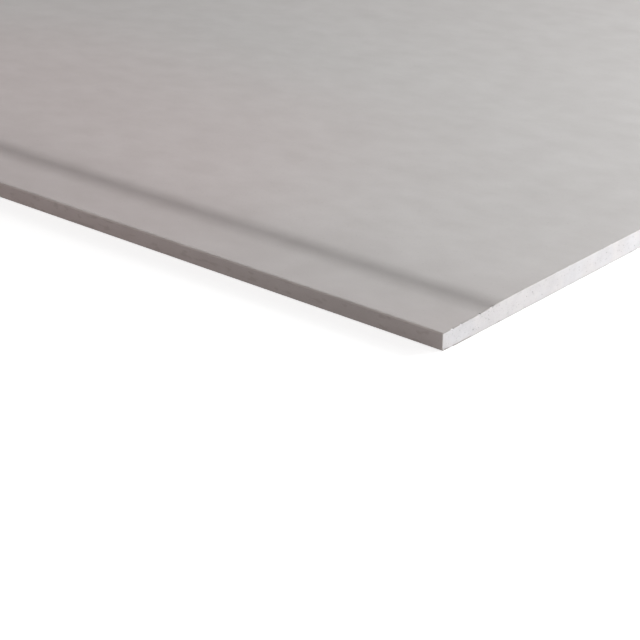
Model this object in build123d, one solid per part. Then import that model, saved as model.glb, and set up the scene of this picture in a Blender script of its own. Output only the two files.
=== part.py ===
from build123d import *
from math import atan2, degrees, radians, sin, tan
import os

# A sheet of half-inch drywall, 4 ft by 8 ft, lying face up.
# A plaster core is cast between two papers. The face paper covers the face, wraps both long
# edges and folds onto the back. The back paper closes the back and laps over the two folds.
# Both ends are cut square across, so the core and the papers' cut edges show there.
# Frame: X along the sheet, Y across it, Z up, origin in the middle of the back.

# Sheet, in millimetres
sheet_length = 2438.4
sheet_width = 1219.2
sheet_thickness = 12.7

# Recess along each long edge, which takes the joint tape and compound: widths of its stretches from
# the edge inwards, and how steeply each falls towards the edge, in degrees
recess_floor_width = 31.0
recess_hollow_width = 14.0
recess_crown_width = 12.0
recess_shoulder_width = 28.0
recess_floor_fall = 0.9
recess_steepest_fall = 4.6
recess_shoulder_fall = 0.8

# Corners of the wrapped long edge
face_corner_radius = 1.0
back_corner_radius = 1.2

# Papers
face_paper_thickness = 0.4
back_paper_thickness = 0.35
fold_width = 26.0
back_paper_lap = 16.0

half_width = sheet_width / 2
fold_level = back_paper_thickness
recess_width = recess_floor_width + recess_hollow_width + recess_crown_width + recess_shoulder_width
width_between_folds = sheet_width - 2 * fold_width


def bent_on(line, width, fall):
    """The arc that carries a line on over this width and ends falling at this angle."""
    heading = line % 1
    fall_before = degrees(atan2(-heading.Y, heading.X))
    radius = width / abs(sin(radians(fall)) - sin(radians(fall_before)))
    return JernArc(start=line @ 1, tangent=heading, radius=radius, arc_size=fall_before - fall)


def wrapped_section():
    """All that the face paper wraps, and the paper itself, with Y drawn to the right and Z up."""
    field = Line((0, sheet_thickness), (half_width - recess_width, sheet_thickness))
    shoulder = bent_on(field, recess_shoulder_width, recess_shoulder_fall)
    crown = bent_on(shoulder, recess_crown_width, recess_steepest_fall)
    hollow = bent_on(crown, recess_hollow_width, recess_floor_fall)
    corner_width = face_corner_radius * (1 - sin(radians(recess_floor_fall)))
    flat_width = recess_floor_width - corner_width
    flat_drop = flat_width * tan(radians(recess_floor_fall))
    floor = Line(hollow @ 1, hollow @ 1 + Vector(flat_width, -flat_drop))
    face_corner = bent_on(floor, corner_width, 90)
    back_corner = RadiusArc(
        (half_width, fold_level + back_corner_radius),
        (half_width - back_corner_radius, fold_level),
        back_corner_radius,
    )
    right_half = [
        field,
        shoulder,
        crown,
        hollow,
        floor,
        face_corner,
        Line(face_corner @ 1, back_corner @ 0),
        back_corner,
        Line(back_corner @ 1, (0, fold_level)),
    ]
    return make_face(right_half + [mirror(edge, Plane.YZ) for edge in right_half])


def core_section(wrapped):
    """The plaster fills the wrap, and reaches the back paper between the two folds."""
    between_folds = Rectangle(
        width_between_folds,
        face_paper_thickness,
        align=(Align.CENTER, Align.MIN),
    )
    return offset(wrapped, -face_paper_thickness) + Pos(0, fold_level) * between_folds


def back_paper_section():
    return Rectangle(
        width_between_folds + 2 * back_paper_lap,
        back_paper_thickness,
        align=(Align.CENTER, Align.MIN),
    )


def along_the_sheet(section):
    return extrude(Plane.YZ * section, amount=sheet_length / 2, both=True)


wrapped = wrapped_section()
core = core_section(wrapped)
pieces = {
    "gypsum_core": along_the_sheet(core),
    "face_paper": along_the_sheet(wrapped - core),
    "back_paper": along_the_sheet(back_paper_section()),
}

os.makedirs("parts", exist_ok=True)
for name, piece in pieces.items():
    export_step(piece, f"parts/{name}.step")
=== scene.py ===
from collections import defaultdict
from itertools import accumulate
import math
import random

import bpy
import numpy as np
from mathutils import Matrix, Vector, noise
from mathutils.geometry import delaunay_2d_cdt

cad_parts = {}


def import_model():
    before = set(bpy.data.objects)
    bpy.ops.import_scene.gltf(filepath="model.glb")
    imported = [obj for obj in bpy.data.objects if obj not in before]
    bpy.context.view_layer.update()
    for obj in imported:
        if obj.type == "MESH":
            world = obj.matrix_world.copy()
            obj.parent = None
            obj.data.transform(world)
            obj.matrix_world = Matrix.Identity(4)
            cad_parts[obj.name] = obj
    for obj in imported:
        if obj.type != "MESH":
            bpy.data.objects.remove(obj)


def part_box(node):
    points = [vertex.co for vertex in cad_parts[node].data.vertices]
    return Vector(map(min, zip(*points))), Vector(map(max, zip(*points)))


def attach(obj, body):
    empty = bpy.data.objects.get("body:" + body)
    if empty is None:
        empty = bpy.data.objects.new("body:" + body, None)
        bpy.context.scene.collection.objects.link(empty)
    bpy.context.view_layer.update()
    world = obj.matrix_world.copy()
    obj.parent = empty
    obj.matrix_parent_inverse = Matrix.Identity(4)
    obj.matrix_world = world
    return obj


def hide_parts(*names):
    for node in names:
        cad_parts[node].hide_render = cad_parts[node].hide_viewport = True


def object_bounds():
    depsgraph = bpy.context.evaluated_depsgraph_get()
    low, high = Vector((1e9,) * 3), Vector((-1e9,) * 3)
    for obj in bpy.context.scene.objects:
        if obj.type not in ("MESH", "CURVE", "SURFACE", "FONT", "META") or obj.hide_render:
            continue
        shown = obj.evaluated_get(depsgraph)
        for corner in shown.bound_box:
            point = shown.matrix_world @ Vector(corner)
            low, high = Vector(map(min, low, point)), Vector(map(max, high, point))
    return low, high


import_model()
cad_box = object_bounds()

MM = 0.001

# The sheet's sizes, in metres, read from the frame
half_length, half_width, sheet_thickness = cad_box[1]
fold_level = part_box("face_paper")[0].z
face_paper_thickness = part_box("face_paper")[1].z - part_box("gypsum_core")[1].z
back_paper_half_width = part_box("back_paper")[1].y
back_paper_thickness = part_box("back_paper")[1].z

# The corner of the face that the camera looks down on
near_corner = Vector((half_length, -half_width, sheet_thickness))

# Sizes of the section that the frame has no name for
recess_floor_width = 31 * MM
recess_hollow_width = 14 * MM
recess_crown_width = 12 * MM
recess_shoulder_width = 28 * MM
face_corner_radius = 1 * MM
back_corner_radius = 1.2 * MM
fold_width = 26 * MM

# How steeply the stretches of the recess fall towards the edge
recess_floor_fall = math.radians(0.9)
recess_steepest_fall = math.radians(4.6)
recess_shoulder_fall = math.radians(0.8)

# Steps of the meshes: the longest across the sheet and along it, the number in each corner and each arc
# of the recess, and the number that a span is cut into at the ends of the papers and of the plaster
width_step = 1.6 * MM
length_step = 60 * MM
corner_steps = 7
bend_steps = 10
rim_steps = 4
core_steps = 2

# Faces that meet at less than this many degrees are shaded as one smooth surface
paper_smooth_below = 35
core_smooth_below = 20

# Slow waves that sink into the face paper
wave_depth = 0.08 * MM
wave_width = 70 * MM
wave_run = 190 * MM

# The papers' ragged cut: how far in from the sheet's ends it reaches, its depth, its mean as a share of
# that, and the length of its coarse and fine ripples
fray_reach = 4 * MM
fray_depth = 0.2 * MM
fray_mean = 0.4
fray_length = 2.6 * MM
fine_fray_length = fray_length / 5

# Nicks torn into the cut, full in the recess and a share of that in the flats, with a share of each broken
# out of the plaster beneath. The noise that makes them runs from about -1 to 1: a nick starts at one level
# of it and is at its deepest after the rise
nick_depth = 0.95 * MM
nick_length = 4 * MM
nick_start = 0.25
nick_rise = 0.15
flat_nick_share = 0.35
nick_share_of_core = 0.5

# Depths below the face: from the first on the paper counts as the recess, and from the second on as the
# long edge, down to the corner at the back
recess_start = 0.3 * MM
recess_depth = 2 * MM

# The plaster's cut end: how far it is short of the sheet's end, its crumbled surface and the points spread
# over that, and the chips along the papers, made by noise as the nicks are
core_shortfall = 0.06 * MM
crumb_depth = 0.02 * MM
coarse_crumbs = 3 * MM
fine_crumbs = 0.9 * MM
crumb_spacing = 1.3 * MM
crumb_jitter = 0.3
crumb_gap_to_wall = 0.5 * crumb_spacing
crumb_gap_to_bubble = 0.4 * crumb_spacing
chip_depth = 0.45 * MM
chip_length = 4 * MM
chip_start = 0.2
chip_rise = 0.25

# The air bubbles that the cut has opened: their radii, how far these spread about the common one, as the
# deviation of their logarithms, the room between them, and the height of the flattest over its width
bubbles_per_end = 3200
smallest_bubble = 0.1 * MM
common_bubble = 0.15 * MM
large_bubble = 1.4 * common_bubble
largest_bubble = 0.6 * MM
bubble_spread = 0.5
bubble_clearance = 0.12 * MM
flattest_bubble = 0.75

# The mesh of a bubble: its sides, and how deep its bottom is as a share of its radius. A large one has a
# ring on the way down: how deep, how wide as a share of the mouth, and how much painted shade it gets as a
# share of the bottom's
small_bubble_sides = 7
large_bubble_sides = 10
bottom_depth = 0.85
ring_depth = 0.5
ring_width = 0.75
ring_painted_shade = 0.8

# Numbers that set one random pattern apart from another
bubble_seed = 5
nick_layer = 42
fine_fray_layer = 7
chip_layer = 20

# The stage: how far the floor reaches, in metres, how much it glows where the camera sees it, how strong
# the light from all round is, and the low net behind the sheet
floor_reach = 40
floor_glow = 0.78
world_strength = 0.04
net_gap = 5 * MM
net_height = 12 * MM
net_lets_through = 0.2

# The camera: its lens in millimetres, its place from the near corner, and its aim in degrees, down from
# level and round from +Y towards -X
camera_lens = 104.3
camera_offset = Vector((538.3, -723.3, 408.6)) * MM
camera_dip = 24.11
camera_turn = 40.82


class Value:
    """What a node gives, in one tree. Arithmetic on it adds the Math nodes."""

    def __init__(self, tree, socket):
        self.tree = tree
        self.socket = socket

    def __add__(self, other):
        return self.tree.maths("ADD", self, other)

    def __sub__(self, other):
        return self.tree.maths("SUBTRACT", self, other)

    def __rsub__(self, other):
        return self.tree.maths("SUBTRACT", other, self)

    def __mul__(self, other):
        return self.tree.maths("MULTIPLY", self, other)

    __radd__ = __add__
    __rmul__ = __mul__


class Tree:
    """The nodes of one material or world."""

    def __init__(self, owner):
        owner.use_nodes = True
        self.owner = owner
        self.made = owner.node_tree
        self.made.nodes.clear()

    def node(self, kind, settings=None, sockets=None, output=0):
        """Adds a node: its settings first, then the values of its sockets or the links to them. Gives one
        output."""
        node = self.made.nodes.new("ShaderNode" + kind)
        for name, setting in (settings or {}).items():
            setattr(node, name, setting)
        for name, value in (sockets or {}).items():
            if isinstance(value, Value):
                self.made.links.new(value.socket, node.inputs[name])
            else:
                node.inputs[name].default_value = value
        return Value(self, node.outputs[output]) if node.outputs else None

    def maths(self, operation, *values):
        return self.node("Math", {"operation": operation}, dict(enumerate(values)))

    def place(self):
        return self.node("TexCoord", output="Object")

    def part(self, axis, vector):
        """The X, Y or Z of a vector."""
        return self.node("SeparateXYZ", {}, {"Vector": vector}, output=axis)

    def stretched(self, place, times):
        """A pattern drawn at this place is that many times as long along X, Y and Z."""
        shares = tuple(1 / n for n in times)
        return self.node("VectorMath", {"operation": "MULTIPLY"}, {0: place, 1: shares})

    def clouds(self, place, size, detail=2.0, roughness=0.5, seed=0.0):
        sockets = {"Vector": place, "W": seed, "Scale": 1 / size, "Detail": detail, "Roughness": roughness}
        return self.node("TexNoise", {"noise_dimensions": "4D"}, sockets)

    def between(self, value, low, high):
        """0 below low, 1 above high and a smooth step between them."""
        settings = {"interpolation_type": "SMOOTHSTEP"}
        return self.node("MapRange", settings, {"Value": value, "From Min": low, "From Max": high})

    def blend(self, factor, first, second):
        return self.node("Mix", {"data_type": "RGBA"}, {0: factor, 6: first, 7: second}, output=2)

    def bump(self, height, distance, strength, under=None):
        sockets = {"Height": height, "Distance": distance, "Strength": strength}
        if under:
            sockets["Normal"] = under
        return self.node("Bump", {}, sockets)

    def mix(self, factor, first, second):
        return self.node("MixShader", {}, {0: factor, 1: first, 2: second})

    def output(self, kind, surface):
        self.node(kind, {}, {"Surface": surface})
        return self.owner

    def matt(self, base, roughness, specular, normal):
        """Ends a material with a plain surface, neither metal nor glass, and gives the material."""
        surface = self.node("BsdfPrincipled", {}, {
            "Base Color": base,
            "Roughness": roughness,
            "Specular IOR Level": specular,
            "Normal": normal,
        })
        return self.output("OutputMaterial", surface)


def colour(red, green, blue):
    return (red, green, blue, 1)


def neutral(level):
    return colour(level, level, level)


def face_paper_finish():
    """Smooth pale grey paper, faintly clouded, whose tone drifts slowly between warm and cool. Its fibres
    run along the sheet, as the paper machine laid them."""
    tree = Tree(bpy.data.materials.new("face_paper"))
    place = tree.place()
    clouds = tree.clouds(tree.stretched(place, (1.4, 1, 1)), 18 * MM, detail=3)
    drift = tree.between(tree.clouds(place, 850 * MM, detail=1, seed=9.7), 0.4, 0.55)
    fibres = tree.clouds(tree.stretched(place, (3, 1, 1)), 0.5 * MM, detail=3, roughness=0.6)
    flecks = tree.between(tree.clouds(place, 1.1 * MM, detail=1), 0.66, 0.74)
    depth = 0.5 + 0.9 * (clouds - 0.5) + 0.5 * (fibres - 0.5)
    warm = tree.blend(depth, colour(0.484, 0.436, 0.428), colour(0.59, 0.546, 0.54))
    cool = tree.blend(depth, colour(0.468, 0.455, 0.446), colour(0.573, 0.564, 0.557))
    grey = tree.blend(drift, warm, cool)
    flecked = tree.blend(0.18 * flecks, grey, colour(0.25, 0.22, 0.2))
    base = scuffs_and_painted_highlight_at_long_edges(tree, place, clouds, flecked)
    felt = tree.bump(clouds, 0.05 * MM, 0.5)
    fuzz = tree.bump(fibres, 0.03 * MM, 0.5, felt)
    return tree.matt(base, roughness=0.7 + 0.25 * fibres, specular=0.08, normal=fuzz)


def scuffs_and_painted_highlight_at_long_edges(tree, place, clouds, paper):
    """The face paper's colour, darkened by faint scuffs on the long edges, with a painted highlight that
    makes the rounded upper corner of each much paler."""
    outwards = tree.maths("ABSOLUTE", tree.part("Y", place))
    on_edge = tree.between(outwards, half_width - 0.6 * MM, half_width - 0.2 * MM)
    scuffs = tree.between(tree.clouds(tree.stretched(place, (2.5, 1, 1)), 3.5 * MM, detail=3), 0.54, 0.64)
    scuffed = tree.blend(0.32 * (on_edge * scuffs), paper, colour(0.34, 0.31, 0.29))
    edge_top = max(z for y, z, fall in half_wrap() if math.isclose(fall, math.pi / 2))
    upper = tree.between(tree.part("Z", place), edge_top + 0.1 * MM, edge_top + 0.6 * MM)
    near_edge = tree.between(outwards, half_width - 2.2 * MM, half_width - 0.8 * MM)
    # Painted highlight: the rounded upper corner of each long edge is painted much paler than the paper
    painted_highlight = near_edge * upper * (0.48 + 0.8 * (clouds - 0.5))
    return tree.blend(painted_highlight, scuffed, colour(0.86, 0.81, 0.79))


def cut_paper_finish():
    """The raw edge where a paper was cut: soft torn plies."""
    tree = Tree(bpy.data.materials.new("cut_paper"))
    plies = tree.clouds(tree.stretched(tree.place(), (1, 5, 1)), 0.12 * MM, detail=2)
    base = tree.blend(plies, colour(0.4, 0.375, 0.355), colour(0.6, 0.575, 0.55))
    return tree.matt(base, roughness=0.9, specular=0.15, normal=tree.bump(plies, 0.08 * MM, 0.7))


def back_paper_finish():
    """Coarser recycled paper, warmer and darker than the face, with long streaks and stray fibres."""
    tree = Tree(bpy.data.materials.new("back_paper"))
    place = tree.place()
    along = tree.stretched(place, (4, 1, 1))
    clouds = tree.clouds(along, 12 * MM, detail=4, roughness=0.6)
    streaks = tree.clouds(tree.stretched(place, (60, 1, 1)), 9 * MM, detail=2)
    fibres = tree.clouds(along, 0.6 * MM, detail=3, roughness=0.65)
    pale = tree.between(tree.clouds(tree.stretched(place, (2.5, 1, 1)), 0.9 * MM, detail=1), 0.66, 0.75)
    dark = tree.between(tree.clouds(place, 1.3 * MM, detail=1), 0.68, 0.76)
    depth = 0.5 + 0.8 * (clouds - 0.5) + 0.35 * (streaks - 0.5) + 0.6 * (fibres - 0.5)
    brown = tree.blend(depth, colour(0.32, 0.29, 0.255), colour(0.48, 0.45, 0.41))
    flecked = tree.blend(0.35 * pale, brown, colour(0.62, 0.59, 0.54))
    base = tree.blend(0.4 * dark, flecked, colour(0.14, 0.12, 0.1))
    felt = tree.bump(clouds, 0.1 * MM, 0.6)
    fuzz = tree.bump(fibres, 0.06 * MM, 0.6, felt)
    return tree.matt(base, roughness=0.72 + 0.25 * fibres, specular=0.08, normal=fuzz)


def gypsum_finish():
    """Set plaster, cut dry: chalky white with grey grains, and painted shade that darkens the inside of the
    bubbles.
    """
    tree = Tree(bpy.data.materials.new("gypsum"))
    place = tree.place()
    blotches = tree.clouds(place, 12 * MM, detail=3, roughness=0.6)
    grains = tree.clouds(place, 0.35 * MM, detail=3, roughness=0.65)
    grit = tree.between(tree.clouds(place, 0.9 * MM, detail=1), 0.64, 0.72)
    hollow = tree.node("Attribute", {"attribute_name": "hollow"}, output="Fac")
    depth = 0.5 + 1.5 * (blotches - 0.5) + 0.5 * (grains - 0.5)
    drift = tree.between(tree.clouds(place, 25 * MM, detail=1, seed=3), 0.4, 0.6)
    pale = tree.blend(drift, colour(0.85, 0.823, 0.82), colour(0.835, 0.827, 0.845))
    white = tree.blend(depth, colour(0.7, 0.682, 0.695), pale)
    gritty = tree.blend(0.18 * grit, white, colour(0.5, 0.49, 0.49))
    # Painted shade: the inside of each bubble is painted darker, most at its bottom
    base = tree.blend(0.3 * hollow, gritty, colour(0.42, 0.41, 0.41))
    return tree.matt(base, roughness=0.88, specular=0.2, normal=tree.bump(grains, 0.04 * MM, 0.3))


def straight(start, end, longest):
    """Points from start up to, and without, end, no further apart than longest."""
    start, end = Vector(start), Vector(end)
    steps = math.ceil((end - start).length / longest)
    return [tuple(start.lerp(end, k / steps)) for k in range(steps)]


def finer(line, steps):
    """The same line with each of its spans cut into that many."""
    spans = zip(line, line[1:])
    points = [tuple(Vector(a).lerp(Vector(b), k / steps)) for a, b in spans for k in range(steps)]
    return points + [line[-1]]


def lengths_along(line):
    """How far each point of a line is from its start, along it."""
    return [0.0] + list(accumulate(math.dist(a, b) for a, b in zip(line, line[1:])))


def sides_of(loop):
    """Each point of a closed loop, paired with the one after it."""
    return list(zip(loop, [*loop[1:], loop[0]]))


class Walk:
    """A line drawn across the sheet's section towards +Y, as Y, Z and how steeply it falls, in radians."""

    def __init__(self, y, z):
        self.places = [(y, z, 0.0)]

    def straight_on(self, length):
        y, z, fall = self.places[-1]
        steps = math.ceil(length / width_step)
        for k in range(1, steps + 1):
            run = length * k / steps
            self.places.append((y + run * math.cos(fall), z - run * math.sin(fall), fall))

    def bend(self, radius, fall, steps):
        """Bends down to this fall, or up to it with a radius below 0."""
        y, z, before = self.places[-1]
        middle_y, middle_z = y - radius * math.sin(before), z - radius * math.cos(before)
        for k in range(1, steps + 1):
            turned = before + (fall - before) * k / steps
            y, z = middle_y + radius * math.sin(turned), middle_z + radius * math.cos(turned)
            self.places.append((y, z, turned))

    def bend_over(self, width, fall):
        """Bends to this fall over this width across the sheet."""
        before = self.places[-1][2]
        self.bend(width / (math.sin(fall) - math.sin(before)), fall, bend_steps)


def half_wrap():
    """The outside of the face paper, from the middle of the face over the recess, round the long edge near
    +Y and in to the free edge on the back."""
    recess_width = recess_floor_width + recess_hollow_width + recess_crown_width + recess_shoulder_width
    corner_width = face_corner_radius * (1 - math.sin(recess_floor_fall))
    walk = Walk(0.0, sheet_thickness)
    walk.straight_on(half_width - recess_width)
    walk.bend_over(recess_shoulder_width, recess_shoulder_fall)
    walk.bend_over(recess_crown_width, recess_steepest_fall)
    walk.bend_over(recess_hollow_width, recess_floor_fall)
    walk.straight_on((recess_floor_width - corner_width) / math.cos(recess_floor_fall))
    walk.bend(face_corner_radius, math.pi / 2, corner_steps)
    walk.straight_on(walk.places[-1][1] - fold_level - back_corner_radius)
    walk.bend(back_corner_radius, math.pi, corner_steps)
    walk.straight_on(fold_width - back_corner_radius)
    return walk.places


def wrap_line(inset):
    """The face paper's line across the sheet, as Y and Z, that far inside its outer skin. It runs from the
    free edge on the back near +Y, round that long edge, over the face and round to the other free edge."""
    half = [(y - inset * math.sin(fall), z - inset * math.cos(fall)) for y, z, fall in half_wrap()]
    return half[::-1] + [(-y, z) for y, z in half[1:]]


def ramp(value, start, rise):
    """0 up to start, 1 from start plus rise on, and straight between them."""
    return min(1, max(0, (value - start) / rise))


def ripple(along, length, end, layer=0):
    """Noise along a cut, from about -1 to 1, with its own pattern at each end and in each layer."""
    return noise.noise(Vector((along / length, end, layer)))


def nick(along, z, end):
    """How deep a nick the saw has torn into a paper at this distance along its cut. Nicks are deepest in the
    recesses, shallow in the flats, and absent where the paper is tight round a long edge."""
    below_face = sheet_thickness - z
    if below_face < recess_start or z < fold_level + back_corner_radius:
        share = flat_nick_share
    elif below_face < recess_depth:
        share = 1
    else:
        share = 0
    return nick_depth * share * ramp(ripple(along, nick_length, end, nick_layer), nick_start, nick_rise)


def fray(along, end):
    """How far the ragged cut of a paper is short of the sheet's end, between the nicks."""
    slow = ripple(along, fray_length, end)
    quick = ripple(along, fine_fray_length, end, fine_fray_layer)
    return fray_depth * max(0, fray_mean + 0.5 * slow + 0.5 * quick)


def mesh_object(name, points, faces, finishes, finish_of_face, smooth_below):
    """An object of these faces, shaded smooth where two faces meet at less than that angle in degrees."""
    mesh = bpy.data.meshes.new(name)
    mesh.from_pydata(points, [], faces)
    for finish in finishes:
        mesh.materials.append(finish)
    mesh.polygons.foreach_set("material_index", finish_of_face)
    mesh.shade_smooth()
    mesh.set_sharp_from_angle(angle=math.radians(smooth_below))
    made = bpy.data.objects.new(name, mesh)
    bpy.context.scene.collection.objects.link(made)
    return made


def faces_at_rim(ring, rim):
    """The faces that close one end of a paper, each with whether it is cut paper. A face of many corners
    joins each span of the last plain ring to the finer rim, and the cut itself lies inside the rim."""
    count, half_rim = len(ring) // 2, len(rim) // 2
    made = []
    for side in (0, 1):
        for k in range(count - 1):
            span = [ring[side * count + k + 1], ring[side * count + k]]
            first = side * half_rim + k * rim_steps
            made.append((span + rim[first:first + rim_steps + 1], False))
    made.append(([ring[count], ring[count - 1], rim[half_rim - 1], rim[half_rim]], True))
    made.append(([ring[0], ring[-1], rim[-1], rim[0]], True))
    for k in range(half_rim - 1):
        made.append(([rim[k], rim[-1 - k], rim[-2 - k], rim[k + 1]], True))
    return made


def paper(name, outer, inner, waves, finish):
    """A sheet of paper between two lines across the board, of as many points each. waves says, for each
    point of the outer line, how much of wave_depth its skin may sink."""
    points, faces, is_cut = [], [], []

    def add_ring(x, end, steps):
        """Adds the paper's section at x, with the spans of both lines cut into steps. Gives its numbers."""
        skin, lining = finer(outer, steps), finer(inner, steps)
        first = len(points)
        back = []
        for k, ((y, z), (y_in, z_in), along) in enumerate(zip(skin, lining, lengths_along(skin))):
            outward = (Vector((y, z)) - Vector((y_in, z_in))).normalized()
            wave = noise.noise(Vector((x / wave_run, along / wave_width, 0)))
            sink = waves[k // steps] * wave_depth * (0.5 + 0.5 * wave)
            short = end * (fray(along, end) + nick(along, z, end)) if end else 0
            points.append((x - short, y - outward.x * sink, z - outward.y * sink))
            back.append((x - short, y_in, z_in))
        points.extend(reversed(back))
        return list(range(first, len(points)))

    inner_end = half_length - fray_reach
    spans = math.ceil(2 * inner_end / length_step)
    rings = [add_ring(inner_end * (2 * k / spans - 1), 0, 1) for k in range(spans + 1)]
    free_edges = (len(outer) - 1, 2 * len(outer) - 1)
    for ring, following in zip(rings, rings[1:]):
        for k, ((a, b), (c, d)) in enumerate(zip(sides_of(ring), sides_of(following))):
            faces.append((a, b, d, c))
            is_cut.append(k in free_edges)
    for end, ring in ((-1, rings[0]), (1, rings[-1])):
        rim = add_ring(end * half_length, end, rim_steps)
        for face, cut in faces_at_rim(ring, rim):
            faces.append(face if end < 0 else face[::-1])
            is_cut.append(cut)
    return mesh_object(name, points, faces, [finish, cut_paper_finish()], is_cut, paper_smooth_below)


def face_paper():
    outer, inner = wrap_line(0), wrap_line(face_paper_thickness)
    waves = [1 if z > fold_level + back_corner_radius else 0 for y, z in outer]
    return paper("face_paper_wrap", outer, inner, waves, face_paper_finish())


def back_paper():
    """The paper on the back, drawn from -Y to +Y, so that its skin faces down."""
    outer = straight((-back_paper_half_width, 0), (back_paper_half_width, 0), width_step)
    outer.append((back_paper_half_width, 0))
    inner = [(y, back_paper_thickness) for y, z in outer]
    return paper("back_paper_sheet", outer, inner, [0] * len(outer), back_paper_finish())


class Columns:
    """Circles on a cut end, as Y, Z and radius, kept in columns of one width, so that those near a place
    are found quickly. A point is a circle with no radius."""

    def __init__(self, width):
        self.width = width
        self.kept = defaultdict(list)

    def add(self, circle):
        self.kept[round(circle[0] / self.width)].append(circle)

    def at(self, y):
        return self.kept[round(y / self.width)]

    def near(self, y):
        column = round(y / self.width)
        return self.kept[column - 1] + self.kept[column] + self.kept[column + 1]


def is_clear(y, z, gap, circles):
    """Whether a place is further than this gap from each of the circles."""
    return all(math.hypot(y - v, z - w) > gap + radius for v, w, radius in circles)


def core_outline():
    """The plaster's outline: inside the wrap, and down between the folds to the back paper."""
    wrapped = finer(wrap_line(face_paper_thickness), core_steps)
    right, left = (wrapped[0][0], fold_level), (wrapped[-1][0], fold_level)
    return wrapped + straight(left, right, width_step) + [right]


def scatter_bubbles(outline, rng):
    """Bubbles on the cut end that keep clear of each other and of the outline, as Y, Z and radius, in a
    list and in columns."""
    face_y, face_z = zip(*sorted((y, z) for y, z in outline if z > sheet_thickness / 2))
    side = half_width - face_paper_thickness - face_corner_radius
    low = fold_level + face_paper_thickness
    found, columns = [], Columns(4 * largest_bubble)
    while len(found) < bubbles_per_end:
        drawn = common_bubble * rng.lognormvariate(0, bubble_spread)
        radius = min(largest_bubble, max(smallest_bubble, drawn))
        room = radius + bubble_clearance
        y = rng.uniform(room - side, side - room)
        z = rng.uniform(low + room, np.interp(y, face_y, face_z) - room)
        if is_clear(y, z, room, columns.near(y)):
            found.append((y, z, radius))
            columns.add((y, z, radius))
    return found, columns


def mouth_of(bubble, rng):
    """The points round a bubble's mouth, which is slightly flattened and leans at random."""
    y, z, radius = bubble
    sides = small_bubble_sides if radius < large_bubble else large_bubble_sides
    flatness, lean = rng.uniform(flattest_bubble, 1), rng.uniform(0, math.pi)
    rim = []
    for k in range(sides):
        turn = 2 * math.pi * k / sides
        across, up = radius * math.cos(turn), radius * flatness * math.sin(turn)
        rim.append((y + across * math.cos(lean) - up * math.sin(lean),
                    z + across * math.sin(lean) + up * math.cos(lean)))
    return rim


def crumbs(outline, bubbles, rng):
    """Points spread over the cut end between the bubbles, clear of them and of the outline."""
    wall = Columns(crumb_spacing)
    for y, z in outline:
        wall.add((y, z, 0))
    found = []
    rows = int(sheet_thickness / crumb_spacing) + 1
    columns = int(half_width / crumb_spacing)
    for column in range(-columns, columns + 1):
        for row in range(rows):
            y = (column + 0.5 * (row % 2) + rng.uniform(-crumb_jitter, crumb_jitter)) * crumb_spacing
            z = (row + rng.uniform(-crumb_jitter, crumb_jitter)) * crumb_spacing
            heights = [height for _, height, _ in wall.at(y)]
            if not heights or not min(heights) < z < max(heights):
                continue
            clear_of_wall = is_clear(y, z, crumb_gap_to_wall, wall.near(y))
            if clear_of_wall and is_clear(y, z, crumb_gap_to_bubble, bubbles.near(y)):
                found.append((y, z))
    return found


def crumble(y, z, end):
    """How far the plaster is short of the sheet's end here, with its surface slightly broken."""
    coarse = noise.noise(Vector((y, z, end)) / coarse_crumbs)
    fine = noise.noise(Vector((y, z, end)) / fine_crumbs)
    return core_shortfall + crumb_depth * max(0, 0.5 + 0.5 * coarse + 0.4 * fine)


def chip(y, z, end):
    """How deep the plaster is chipped off here along the papers."""
    level = noise.noise(Vector((y / chip_length, z / chip_length, chip_layer * end)))
    return chip_depth * ramp(level, chip_start, chip_rise)


def outline_depths(outline, end):
    """How far the outline's points are short of the sheet's end: crumbled, chipped along the papers, and
    broken away beneath the face paper's nicks."""
    depths = [crumble(y, z, end) + chip(y, z, end) for y, z in outline]
    skin = finer(wrap_line(0), core_steps)
    for k, (along, (y, z)) in enumerate(zip(lengths_along(skin), skin)):
        depths[k] += nick_share_of_core * nick(along, z, end)
    return depths


def triangles_between(flat, border, rims):
    """Triangles that join all these points inside the border and leave the mouths inside the rims open."""
    edges = [edge for loop in [border] + rims for edge in sides_of(loop)]
    in_mm = [Vector(point) / MM for point in flat]
    inside_only, merged_below = 1, 1e-5
    _, _, found, originals, _, _ = delaunay_2d_cdt(in_mm, edges, [], inside_only, merged_below)
    number = [olds[0] for olds in originals]
    assert sorted(number) == list(range(len(flat))), "points of the cut end fell together"
    rim_of = {k: rim for rim, points in enumerate(rims) for k in points}
    triangles = []
    for corners in found:
        corners = [number[k] for k in corners]
        touched = {rim_of.get(k) for k in corners}
        if len(touched) > 1 or None in touched:
            triangles.append(corners)
    return triangles


def hollow_out(bubble, rim, points, triangles, hollow):
    """Adds a bubble's hollow beneath its rim: its bottom and, in a large one, a ring on the way down, each
    with its share of the painted shade.
    """
    y, z, radius = bubble
    mouth = sum(points[k][0] for k in rim) / len(rim)
    if radius >= large_bubble:
        ring = list(range(len(points), len(points) + len(rim)))
        for k in rim:
            across, up = points[k][1] - y, points[k][2] - z
            points.append((mouth + ring_depth * radius, y + ring_width * across, z + ring_width * up))
            hollow.append(ring_painted_shade)
        for (a, b), (c, d) in zip(sides_of(rim), sides_of(ring)):
            triangles.extend([(a, b, d), (a, d, c)])
        rim = ring
    bottom = len(points)
    points.append((mouth + bottom_depth * radius, y, z))
    hollow.append(1.0)
    triangles.extend((a, b, bottom) for a, b in sides_of(rim))


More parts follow.
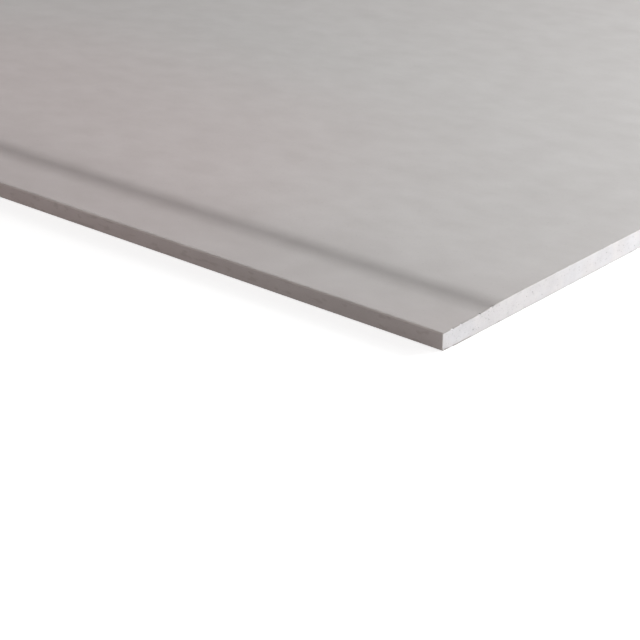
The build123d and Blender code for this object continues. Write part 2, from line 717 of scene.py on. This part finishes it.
def cut_end(outline, end):
    """One cut end of the plaster: points as depth, Y and Z, triangles, and how far each point is in a
    bubble, which sets the painted shade there. The outline's own points come first."""
    rng = random.Random(end + bubble_seed)
    bubbles, columns = scatter_bubbles(outline, rng)
    flat, rims = list(outline), []
    for bubble in bubbles:
        mouth = mouth_of(bubble, rng)
        rims.append(list(range(len(flat), len(flat) + len(mouth))))
        flat += mouth
    flat += crumbs(outline, columns, rng)
    triangles = triangles_between(flat, list(range(len(outline))), rims)
    depths = outline_depths(outline, end) + [crumble(y, z, end) for y, z in flat[len(outline):]]
    points = [(depth, y, z) for depth, (y, z) in zip(depths, flat)]
    hollow = [0.0] * len(points)
    for bubble, rim in zip(bubbles, rims):
        hollow_out(bubble, rim, points, triangles, hollow)
    return points, triangles, hollow


def gypsum_core():
    """The plaster, with both cut ends."""
    outline = core_outline()
    points, faces, hollow, first = [], [], [], {}
    for end in (-1, 1):
        first[end] = len(points)
        spots, triangles, depths = cut_end(outline, end)
        points += [(end * (half_length - depth), y, z) for depth, y, z in spots]
        hollow += depths
        for corners in triangles:
            a, b, c = [first[end] + k for k in corners]
            faces.append((a, b, c) if end > 0 else (a, c, b))
    for a, b in sides_of(range(len(outline))):
        faces.append((first[-1] + a, first[-1] + b, first[1] + b, first[1] + a))
    finishes, finish_of_face = [gypsum_finish()], [0] * len(faces)
    made = mesh_object("gypsum_core_cut", points, faces, finishes, finish_of_face, core_smooth_below)
    # How far each point is in a bubble, which the plaster's finish turns into painted shade
    made.data.attributes.new("hollow", "FLOAT", "POINT").data.foreach_set("value", hollow)
    return made


def add_lamp(name, kind, level, tint, azimuth, elevation, distance):
    """A lamp that shines on the near corner, from that many degrees round from +Y towards +X and up. At the
    corner it lights a white surface that faces it to this level."""
    turn, rise = math.radians(azimuth), math.radians(elevation)
    way = Vector((math.sin(turn) * math.cos(rise), math.cos(turn) * math.cos(rise), math.sin(rise)))
    light = bpy.data.lights.new(name, kind)
    spread = 1 if kind == "SUN" else math.pi * distance ** 2
    light.energy = math.pi * level * spread
    light.color = tint
    made = bpy.data.objects.new(name, light)
    made.location = near_corner + way * distance
    made.rotation_euler = way.to_track_quat("Z", "Y").to_euler()
    bpy.context.scene.collection.objects.link(made)
    return light


def far_lamp(name, level, tint, azimuth, elevation, softness):
    """A lamp so far off that it lights the whole sheet alike, wherever it stands. Its softness is its width
    in degrees."""
    light = add_lamp(name, "SUN", level, tint, azimuth, elevation, distance=5)
    light.angle = math.radians(softness)


def soft_box(name, level, tint, azimuth, elevation, distance, width):
    light = add_lamp(name, "AREA", level, tint, azimuth, elevation, distance)
    light.shape = "DISK"
    light.size = width


def studio():
    """A low light raking over the face from behind, soft boxes off both ends, and a weak, warm light on the
    sides that they leave dark."""
    plain, warm = (1, 1, 1), (1.12, 1, 0.97)
    far_lamp("raking", level=3.25, tint=plain, azimuth=-1.5, elevation=6, softness=3)
    soft_box("near_end_rear", level=0.75, tint=plain, azimuth=30, elevation=20, distance=1.5, width=0.6)
    soft_box("near_end_middle", level=0.25, tint=plain, azimuth=60, elevation=25, distance=1.5, width=0.6)
    soft_box("near_end_front", level=0.18, tint=plain, azimuth=90, elevation=20, distance=1.5, width=0.6)
    soft_box("far_end", level=0.1, tint=plain, azimuth=-75, elevation=10, distance=3.6, width=0.8)
    soft_box("sides", level=0.357, tint=warm, azimuth=225, elevation=12, distance=6, width=2.1)


def seen(tree):
    """1 where the camera sees this surface, or sees it in a reflection or through glass."""
    rays = ("Camera", "Glossy", "Transmission")
    plainly, mirrored, through = [tree.node("LightPath", output=f"Is {ray} Ray") for ray in rays]
    return tree.maths("MAXIMUM", tree.maths("MAXIMUM", plainly, mirrored), through)


def world():
    """An even, weak light from all round, which the camera sees as white."""
    tree = Tree(bpy.data.worlds.new("studio"))
    weak = tree.node("Background", {}, {"Color": neutral(1), "Strength": world_strength})
    white = tree.node("Background", {}, {"Color": neutral(1), "Strength": 1})
    bpy.context.scene.world = tree.output("OutputWorld", tree.mix(seen(tree), weak, white))


def stage_plane(name, corners, finish):
    mesh = bpy.data.meshes.new(name)
    mesh.from_pydata(corners, [], [(0, 1, 2, 3)])
    mesh.materials.append(finish)
    plane = bpy.data.objects.new(name, mesh)
    bpy.context.scene.collection.objects.link(plane)
    return plane


def floor():
    """Plain and pale. The camera sees it white wherever nothing shades it."""
    tree = Tree(bpy.data.materials.new("floor"))
    pale = tree.node("BsdfDiffuse", {}, {"Color": neutral(0.5)})
    bright = tree.node("BsdfDiffuse", {}, {"Color": neutral(0.6)})
    glow = tree.node("Emission", {}, {"Color": neutral(1), "Strength": floor_glow})
    white = tree.node("AddShader", {}, {0: bright, 1: glow})
    finish = tree.output("OutputMaterial", tree.mix(seen(tree), pale, white))
    corners = [(x * floor_reach, y * floor_reach, 0) for x, y in ((-1, -1), (1, -1), (1, 1), (-1, 1))]
    stage_plane("floor", corners, finish)


def net():
    """A low net close behind the sheet, which no camera sees. It lets a fifth of the raking light through
    to the long edge there, which would be overlit without it."""
    tree = Tree(bpy.data.materials.new("net"))
    thin = tree.node("BsdfTransparent", {}, {"Color": neutral(net_lets_through)})
    finish = tree.output("OutputMaterial", thin)
    x, y = half_length + net_gap, half_width + net_gap
    strip = stage_plane("net", [(-x, y, 0), (x, y, 0), (x, y, net_height), (-x, y, net_height)], finish)
    strip.visible_camera = False
    strip.visible_glossy = False


def camera():
    """Looks down on the near corner, as the photograph does."""
    data = bpy.data.cameras.new("camera")
    data.lens = camera_lens
    made = bpy.data.objects.new("camera", data)
    made.location = near_corner + camera_offset
    made.rotation_euler = (math.radians(90 - camera_dip), 0, math.radians(camera_turn))
    bpy.context.scene.collection.objects.link(made)
    bpy.context.scene.camera = made


for build, node, finish in (
    (face_paper, "face_paper", "face_paper"),
    (gypsum_core, "gypsum_core", "gypsum"),
    (back_paper, "back_paper", "back_paper"),
):
    piece = build()
    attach(piece, "root")
    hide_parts(node)

studio()
world()
floor()
net()
camera()
bpy.context.scene.view_settings.view_transform = "Standard"
